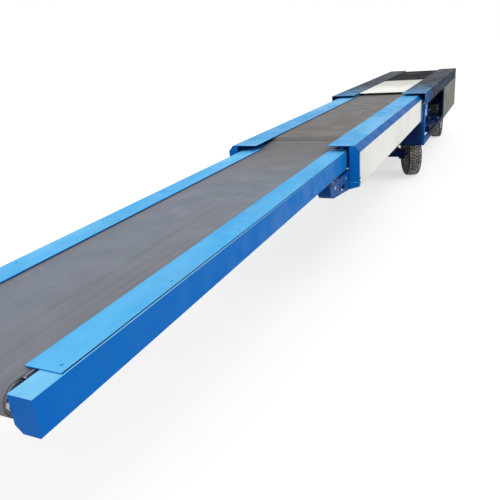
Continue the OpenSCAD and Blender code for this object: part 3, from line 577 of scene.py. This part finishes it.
# Turned profiles, each a list of radius and height
NUT_SEAT = [(0.016, 0.0), (0.0145, 0.005)]
NUT = [(0.0115, 0.004), (0.0115, 0.015), (0.0095, 0.0175), (0.007, 0.0175)]
STUD = [(0.0065, 0.0165), (0.0065, 0.026), (0.0055, 0.027)]
HUB_CAP = [
    (0.031, -0.002), (0.031, 0.003), (0.028, 0.0045), (0.0265, 0.016),
    (0.022, 0.0215), (0.012, 0.0235), (0, 0.024),
]
VALVE = [(0.0055, -0.004), (0.005, 0.014), (0.0042, 0.016), (0.0042, 0.024), (0.003, 0.026)]
VALVE_Y, VALVE_R, VALVE_WAY = 0.05, 0.106, (0, 0.96, -0.28)
NUTS = 5
for corner in ("front_left", "front_right", "rear_left", "rear_right"):
    body = "wheel_" + corner
    place = wheel_place("spin_" + corner)
    tyre = piece(
        "tread_tyre_" + corner, tyre_mesh(), body, finishes["tyre"], place, smooth=28.0,
    )
    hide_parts("tyre_" + corner)
    bm = bmesh.new()
    for n in range(NUTS):
        a = 2 * math.pi * n / NUTS
        spot = Vector((NUT_CIRCLE_R * math.cos(a), NUT_Y, -NUT_CIRCLE_R * math.sin(a)))
        nut = facing(spot, (0, 1, 0))
        turned(bm, nut, NUT_SEAT, 24)
        turned(bm, nut, NUT, 6)
        turned(bm, nut, STUD, 16)
    piece("wheel_nuts_" + corner, bm, body, zinc, place)
    bm = bmesh.new()
    hub = facing((0, HUB_END, 0), (0, 1, 0))
    turned(bm, hub, HUB_CAP, 40)
    piece("hub_cap_" + corner, bm, body, black_rubber, place)
    bm = bmesh.new()
    valve = facing((0, VALVE_Y, VALVE_R), VALVE_WAY)
    turned(bm, valve, VALVE, 16)
    piece("valve_" + corner, bm, body, black_rubber, place)


# Small fasteners on the covers, panels and frames

boom_low, boom_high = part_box("boom_covers")
middle_low, middle_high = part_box("middle_covers")
base_low, base_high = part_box("base_covers")
SCREW, SCREW_H, FLAT_SCREW_H = 0.011, 0.0022, 0.0015


def cover_screws(name, body, ends, y, z, pitch, height, material):
    """A row of screws along both covers."""
    bm = bmesh.new()
    for side in SIDES:
        for x in steps(*ends, pitch):
            rivet(bm, facing((x, side * y, z), (0, 0, 1)), SCREW, height)
    piece(name, bm, body, material)


cover_screws(
    "boom_cover_screws", "boom", (boom_low.x + 0.1, boom_high.x - 0.035),
    boom_high.y - 0.03, boom_high.z, 0.55, SCREW_H, finishes["cover_paint"],
)
cover_screws(
    "middle_cover_screws", "middle", (middle_low.x + 0.08, middle_high.x - 0.05),
    middle_high.y - 0.055, middle_high.z, 0.58, SCREW_H, finishes["cover_paint"],
)
cover_screws(
    "base_cover_screws", "base", (base_low.x + 0.06, base_high.x - 0.05),
    base_high.y - 0.035, base_high.z, 0.58, FLAT_SCREW_H, special["base_covers"],
)


RIVET, RIVET_H, RIVET_END = 0.009, 0.0016, 0.03


def panel_rivets(name, node, body, edge, pitch):
    """Rivets along the long edges of the white side panels."""
    low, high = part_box(node)
    bm = bmesh.new()
    for side in SIDES:
        for z in (low.z + edge, high.z - edge):
            for x in steps(low.x + RIVET_END, high.x - RIVET_END, pitch):
                rivet(bm, facing((x, side * high.y, z), (0, side, 0)), RIVET, RIVET_H)
    piece(name, bm, body, special.get(node, finishes["white_paint"]))


panel_rivets("middle_panel_rivets", "middle_panels", "middle", 0.014, 0.24)
panel_rivets("base_panel_rivets", "base_panels", "base", 0.016, 0.19)

# Bolts in the posts of the middle section and the base

wall_low, wall_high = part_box("middle_walls")
POST_BOLT, POST_BOLT_IN, POST_BOLTS_UP = 0.012, 0.009, (0.03, 0.062)
bm = bmesh.new()
for side in SIDES:
    for up in POST_BOLTS_UP:
        spot = (wall_high.x - POST_BOLT_IN, side * wall_high.y, wall_low.z + up)
        bolt(bm, facing(spot, (0, side, 0)), POST_BOLT, washer=False)
piece("middle_post_bolts", bm, "middle", dark_bolt)

post_low, post_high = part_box("base_posts")
FRAME_BOLT, POST_W, POST_SIDE, POST_END = 0.016, 0.078, 0.02, 0.03
bm = bmesh.new()
for side in SIDES:
    for x in (post_high.x - POST_SIDE, post_high.x - POST_W + POST_SIDE):
        for z in (post_low.z + POST_END, post_high.z - POST_END):
            bolt(bm, facing((x, side * post_high.y, z), (0, side, 0)), FRAME_BOLT)
piece("base_post_bolts", bm, "base", dark_bolt)

# End plates that close the shoulders of the middle section's front

SHOULDER_H, SHOULDER_W, SHOULDER_GAP = 0.040, 0.036, 0.002
COVER_T, END_T, CHANNEL_W = 0.004, 0.006, 0.072
wall_inner = wall_high.y - CHANNEL_W
bm = bmesh.new()
for side in SIDES:
    top = middle_high.z - COVER_T
    outline = [
        (wall_inner, wall_high.z), (wall_high.y - COVER_T, wall_high.z),
        (wall_high.y - COVER_T, middle_high.z - SHOULDER_H),
        (wall_high.y - SHOULDER_W - SHOULDER_GAP, top), (wall_inner, top),
    ]
    sheet(bm, *([(x, side * y, z) for y, z in outline] for x in (wall_high.x - END_T, wall_high.x)))
piece("middle_shoulder_ends", bm, "middle", finishes["blue_paint"])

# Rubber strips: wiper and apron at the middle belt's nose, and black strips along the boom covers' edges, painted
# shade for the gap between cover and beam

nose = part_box("middle_belt")[1]
WIPER_X, WIPER_Z = (-0.013, -0.008), (-0.020, -0.008)
bm = bmesh.new()
block(
    bm, (nose.x + WIPER_X[0], -nose.y, nose.z + WIPER_Z[0]),
    (nose.x + WIPER_X[1], nose.y, nose.z + WIPER_Z[1]), 0.001,
)
piece("nose_wiper", bm, "middle", special["middle_belt"])

# The apron's section as x and z from the top of the nose
APRON = [(0.0004, -0.0018), (0.0004, -0.0055), (0.041, -0.0195), (0.045, -0.0195)]
bm = bmesh.new()
sheet(bm, *([(nose.x + x, y, nose.z + z) for x, z in APRON] for y in (-nose.y, nose.y)))
piece("nose_apron", bm, "middle", special["middle_belt"])

# Painted shade: each black strip stands in for the shadow in the gap at a cover's outer edge
GAP_SHADE_W, GAP_SHADE_H = 0.0028, 0.002
bm = bmesh.new()
for side in SIDES:
    y = sorted((side * boom_high.y, side * (boom_high.y + GAP_SHADE_W)))
    block(bm, (boom_low.x, y[0], boom_low.z), (boom_high.x, y[1], boom_low.z + GAP_SHADE_H), 0.0005)
piece("cover_gap_shade_strips", bm, "boom", black_rubber)

# Dark sheet behind the boom's rear roller, between the beams: painted shade that keeps the white floor from
# showing through

beam_low, beam_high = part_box("boom_beams")
belt_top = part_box("boom_belt")[1].z
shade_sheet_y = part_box("boom_cross_members")[1].y
SHADE_SHEET_T, SHADE_SHEET_UP = 0.002, 0.03
bm = bmesh.new()
block(
    bm, (beam_low.x, -shade_sheet_y, beam_low.z + SHADE_SHEET_UP),
    (beam_low.x + SHADE_SHEET_T, shade_sheet_y, belt_top), 0.0006,
)
piece("boom_tail_shade_sheet", bm, "boom", finishes["dark_paint"])

# Dark trays between the chassis and the bottom rails, below the drive: painted shade that keeps the white floor
# from showing through the bay

rail_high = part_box("base_bottom_rails")[1]
RAIL_W, TRAY_T, TRAY_LIP, TRAY_X, TRAY_IN = 0.045, 0.003, 0.045, (-3.16, -1.86), 0.252
bm = bmesh.new()
for side in SIDES:
    y = sorted((side * TRAY_IN, side * (rail_high.y - RAIL_W)))
    for x, height in ((TRAY_X[0], TRAY_T), (TRAY_X[1] - TRAY_T, TRAY_LIP)):
        block(bm, (x, y[0], rail_high.z), (TRAY_X[1], y[1], rail_high.z + height), 0.0008)
piece("side_shade_trays", bm, "base", finishes["dark_paint"])

# Gussets in the corners of the drive bay

GUSSET_X, GUSSET_Z, GUSSET_T, GUSSET_IN, GUSSET_STEPS = 0.15, 0.12, 0.004, 0.008, 8
PANEL_LAP = 0.006
bay_x = (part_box("base_panels")[1].x + POST_W - PANEL_LAP, post_high.x - POST_W)
bm = bmesh.new()
for side in SIDES:
    y = side * (post_high.y - GUSSET_IN)
    for corner_x, way_x in ((bay_x[0], 1), (bay_x[1], -1)):
        for corner_z, way_z in ((post_low.z, 1), (post_high.z, -1)):
            outline = [(corner_x, corner_z)]
            for i in range(GUSSET_STEPS + 1):
                a = math.pi / 2 * i / GUSSET_STEPS
                x = corner_x + way_x * GUSSET_X * (1 - math.sin(a))
                outline.append((x, corner_z + way_z * GUSSET_Z * (1 - math.cos(a))))
            sheet(bm, *([(x, y + t, z) for x, z in outline] for t in (0, GUSSET_T * side)))
piece("bay_gussets", bm, "base", base_frame_paint)

# Rear plate, tow clevis and drive details

tail_low, tail_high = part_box("base_tail_plate")
TAIL_RIVETS_Y, TAIL_EDGE = (-0.505, -0.25, 0.0, 0.25, 0.505), 0.022
TAIL_RIVET, TAIL_RIVET_H = 0.016, 0.0025
bm = bmesh.new()
for y in TAIL_RIVETS_Y:
    for z in (tail_low.z + TAIL_EDGE, tail_high.z - TAIL_EDGE):
        rivet(bm, facing((tail_low.x, y, z), (-1, 0, 0)), TAIL_RIVET, TAIL_RIVET_H)
piece("tail_plate_rivets", bm, "base", base_frame_paint)

clevis_low, clevis_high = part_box("tow_clevis")
CLEVIS_EDGE, CLEVIS_BOLT_Y = 0.006, 0.05
bm = bmesh.new()
for side in SIDES:
    for z in (clevis_low.z + CLEVIS_EDGE, clevis_high.z - CLEVIS_EDGE):
        bolt(bm, facing((clevis_low.x, side * CLEVIS_BOLT_Y, z), (1, 0, 0)), FRAME_BOLT)
piece("clevis_bolts", bm, "base", zinc)

motor_low, motor_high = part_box("extension_motor")
motor_y = (motor_low.y + motor_high.y) / 2
motor_z = (motor_low.z + motor_high.z) / 2
cowl = facing((motor_high.x, motor_y, motor_z), (1, 0, 0))
GRILLE_R, GRILLE_W = (0.016, 0.026, 0.036, 0.046), 0.004
SPOKES, SPOKE_START, SPOKE = 6, 0.012, [(0.0018, 0.0), (0.0018, 0.038)]
bm = bmesh.new()
for r in GRILLE_R:
    inner = r - GRILLE_W
    turned(bm, cowl, [(r, -0.001), (r, 0.003), (inner, 0.003), (inner, -0.001)], 36)
for n in range(SPOKES):
    a = 2 * math.pi * n / SPOKES
    out = Vector((0, math.cos(a), math.sin(a)))
    turned(bm, facing(cowl.translation + SPOKE_START * out, out), SPOKE, 8)
piece("fan_grille", bm, "base", black_rubber)

# The terminal box: its ends from the cowl, half its width, its foot and top from the motor's top
TERMINAL_X, TERMINAL_HALF, TERMINAL_Z, LID = (-0.25, -0.16), 0.032, (-0.008, 0.026), 0.003
GLAND_UP, GLAND = 0.01, [(0.011, -0.002), (0.011, 0.008), (0.008, 0.018)]
x0, x1 = (motor_high.x + x for x in TERMINAL_X)
foot_z, lid_z = (motor_high.z + z for z in TERMINAL_Z)
lid_half = TERMINAL_HALF + LID
bm = bmesh.new()
block(bm, (x0, motor_y - TERMINAL_HALF, foot_z), (x1, motor_y + TERMINAL_HALF, lid_z), 0.004)
block(
    bm, (x0 - LID, motor_y - lid_half, lid_z),
    (x1 + LID, motor_y + lid_half, lid_z + 2 * LID), 0.002,
)
turned(bm, facing((x1, motor_y, motor_high.z + GLAND_UP), (1, 0, 0)), GLAND, 6)
piece("motor_terminal_box", bm, "base", finishes["black_paint"])

gear_low, gear_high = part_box("extension_gearbox")
gear_x = (gear_low.x + gear_high.x) / 2
GEAR_RIM, GEAR_BOLT, PLUG, PLUG_IN = 0.007, 0.01, 0.022, 0.05
bm = bmesh.new()
for x in (gear_low.x + GEAR_RIM, gear_x, gear_high.x - GEAR_RIM):
    for z in (gear_low.z + GEAR_RIM, gear_high.z - GEAR_RIM):
        bolt(bm, facing((x, gear_high.y, z), (0, 1, 0)), GEAR_BOLT, washer=False)
bolt(bm, facing((gear_x, gear_high.y - PLUG_IN, gear_high.z), (0, 0, 1)), PLUG)
piece("gearbox_bolts", bm, "base", zinc)

box_low, box_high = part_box("control_box")
LOCK = [(0.013, -0.001), (0.013, 0.003), (0.011, 0.0045), (0.006, 0.0045), (0.006, 0.003)]
HINGE = [(0.004, 0.0), (0.004, 0.036)]
LOCK_IN, HINGES_IN, HINGE_DOWN = 0.035, (0.05, 0.06), 0.008
bm = bmesh.new()
lock = facing((box_high.x - LOCK_IN, box_high.y, (box_low.z + box_high.z) / 2), (0, 1, 0))
turned(bm, lock, LOCK, 28)
for x in (box_low.x + HINGES_IN[0], box_high.x - HINGES_IN[1]):
    turned(bm, facing((x, box_high.y, box_high.z - HINGE_DOWN), (1, 0, 0)), HINGE, 12)
piece("control_box_lock", bm, "base", zinc)

# Take-up bolts of the head drum, on the beams' inner faces and ends

drum_low, drum_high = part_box("head_bearings")
drum_z = (drum_low.z + drum_high.z) / 2
TIP_BOLT, TIP_BOLT_IN, TIP_BOLT_DOWN, ROD_IN = 0.026, 0.012, 0.045, 0.007
ROD = [(0.005, 0.0), (0.005, 0.017), (0.004, 0.018)]
ROD_NUT = [(0.009, 0.002), (0.009, 0.009)]
bm = bmesh.new()
for side in SIDES:
    spot = (beam_high.x - TIP_BOLT_IN, side * drum_high.y, beam_high.z - TIP_BOLT_DOWN)
    bolt(bm, facing(spot, (0, -side, 0)), TIP_BOLT)
    rod = facing((drum_high.x, side * (drum_high.y - ROD_IN), drum_z), (1, 0, 0))
    turned(bm, rod, ROD, 16)
    turned(bm, rod, ROD_NUT, 6)
piece("take_up_bolts", bm, "boom", zinc)

# Black plates behind the brackets' windows: painted shade for the dark inside of the brackets

bracket_low, bracket_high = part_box("middle_front_brackets")
BRACKET_W, BACK_T, BACK_X, BACK_Z = 0.09, 0.003, (0.12, 0.285), (0.006, 0.1)
bm = bmesh.new()
for side in SIDES:
    inner = bracket_high.y - BRACKET_W
    y = sorted((side * (inner - BACK_T), side * inner))
    block(
        bm, (wall_high.x + BACK_X[0], y[0], wall_low.z + BACK_Z[0]),
        (wall_high.x + BACK_X[1], y[1], wall_low.z + BACK_Z[1]), 0.001,
    )
piece("bracket_window_shade_plates", bm, "middle", black_rubber)

# Webs between the brackets and the lower ends of the section's front

WEB_H, WEB_T, WEB_LAP, WEB_DROP = 0.03, 0.005, 0.006, 0.002
bm = bmesh.new()
for side in SIDES:
    inner = bracket_high.y - WEB_LAP
    outline = [
        (inner, bracket_low.z - WEB_DROP), (wall_high.y, wall_low.z),
        (wall_high.y, wall_low.z + WEB_H), (inner, wall_low.z + WEB_H),
    ]
    sheet(bm, *([(x, side * y, z) for y, z in outline] for x in (wall_high.x, wall_high.x + WEB_T)))
piece("bracket_webs", bm, "middle", finishes["blue_paint"])

# Backdrop, lights and camera

# The floor keeps the shadows, and its glow brings it to white for the camera and in gloss
FLOOR_SIZE, FLOOR_GREY, FLOOR_GLOW = 120, 0.45, 0.62
bpy.ops.mesh.primitive_plane_add(size=FLOOR_SIZE)
floor = bpy.context.object
floor.name = "studio_floor"
g = Graph("studio_floor")
g.shader.inputs["Specular IOR Level"].default_value = 0.0
g.feed(g.shader.inputs["Base Color"], (FLOOR_GREY, FLOOR_GREY, FLOOR_GREY, 1))
g.feed(g.shader.inputs["Roughness"], 1.0)
rays = g.add("ShaderNodeLightPath")
glow = g.add("ShaderNodeEmission")
glow.inputs["Color"].default_value = (1, 1, 1, 1)
seen = g.math("MAXIMUM", rays.outputs["Is Camera Ray"], rays.outputs["Is Glossy Ray"])
g.feed(glow.inputs["Strength"], g.math("MULTIPLY", seen, FLOOR_GLOW))
both = g.add("ShaderNodeAddShader")
g.feed(both.inputs[0], g.shader.outputs[0])
g.feed(both.inputs[1], glow.outputs[0])
output = g.tree.nodes["Material Output"]
g.tree.links.new(both.outputs[0], output.inputs["Surface"])
floor.data.materials.append(g.material)

# The world lights the machine at this level, and shows white to the camera, in gloss and in glass
SKY_LEVEL = 0.8
world = bpy.data.worlds.new("studio")
bpy.context.scene.world = world
world.use_nodes = True
tree = world.node_tree
background = tree.nodes["Background"]
background.inputs["Color"].default_value = (1, 1, 1, 1)
path = tree.nodes.new("ShaderNodeLightPath")
shown = tree.nodes.new("ShaderNodeMath")
shown.operation = "MAXIMUM"
tree.links.new(path.outputs["Is Camera Ray"], shown.inputs[0])
either = tree.nodes.new("ShaderNodeMath")
either.operation = "MAXIMUM"
tree.links.new(path.outputs["Is Glossy Ray"], either.inputs[0])
tree.links.new(path.outputs["Is Transmission Ray"], either.inputs[1])
tree.links.new(either.outputs[0], shown.inputs[1])
level = tree.nodes.new("ShaderNodeMapRange")
level.inputs["To Min"].default_value = SKY_LEVEL
level.inputs["To Max"].default_value = 1.0
tree.links.new(shown.outputs[0], level.inputs["Value"])
tree.links.new(level.outputs[0], background.inputs["Strength"])

lamp = bpy.data.lights.new("soft_key", "SUN")
lamp.energy = 1.1
lamp.angle = math.radians(50)
key = bpy.data.objects.new("soft_key", lamp)
key.matrix_world = facing((1, 5, 6), (0.1, 0.75, 1.0))
bpy.context.scene.collection.objects.link(key)

# The camera stands where the photograph was taken
FOCAL_PX, PHOTO_PX, SENSOR_MM = 556.38, 500, 36.0
CAMERA_AT = Vector((5.7809, 1.4516, 1.7778))
YAW, PITCH, ROLL = (math.radians(a) for a in (25.6002, 20.5704, -4.6962))
level_share = math.cos(PITCH)
forward = -Vector((level_share * math.cos(YAW), level_share * math.sin(YAW), math.sin(PITCH)))
level_right = forward.cross(Vector((0, 0, 1))).normalized()
level_up = level_right.cross(forward)
right = math.cos(ROLL) * level_right + math.sin(ROLL) * level_up
up = math.cos(ROLL) * level_up - math.sin(ROLL) * level_right
lens = bpy.data.cameras.new("photo_camera")
lens.sensor_width = SENSOR_MM
lens.lens = SENSOR_MM * FOCAL_PX / PHOTO_PX
lens.clip_end = 200
camera = bpy.data.objects.new("photo_camera", lens)
camera_turn = Matrix((right, up, -forward)).transposed().to_4x4()
camera.matrix_world = Matrix.Translation(CAMERA_AT) @ camera_turn
bpy.context.scene.collection.objects.link(camera)
bpy.context.scene.camera = camera
bpy.context.scene.view_settings.view_transform = "Standard"
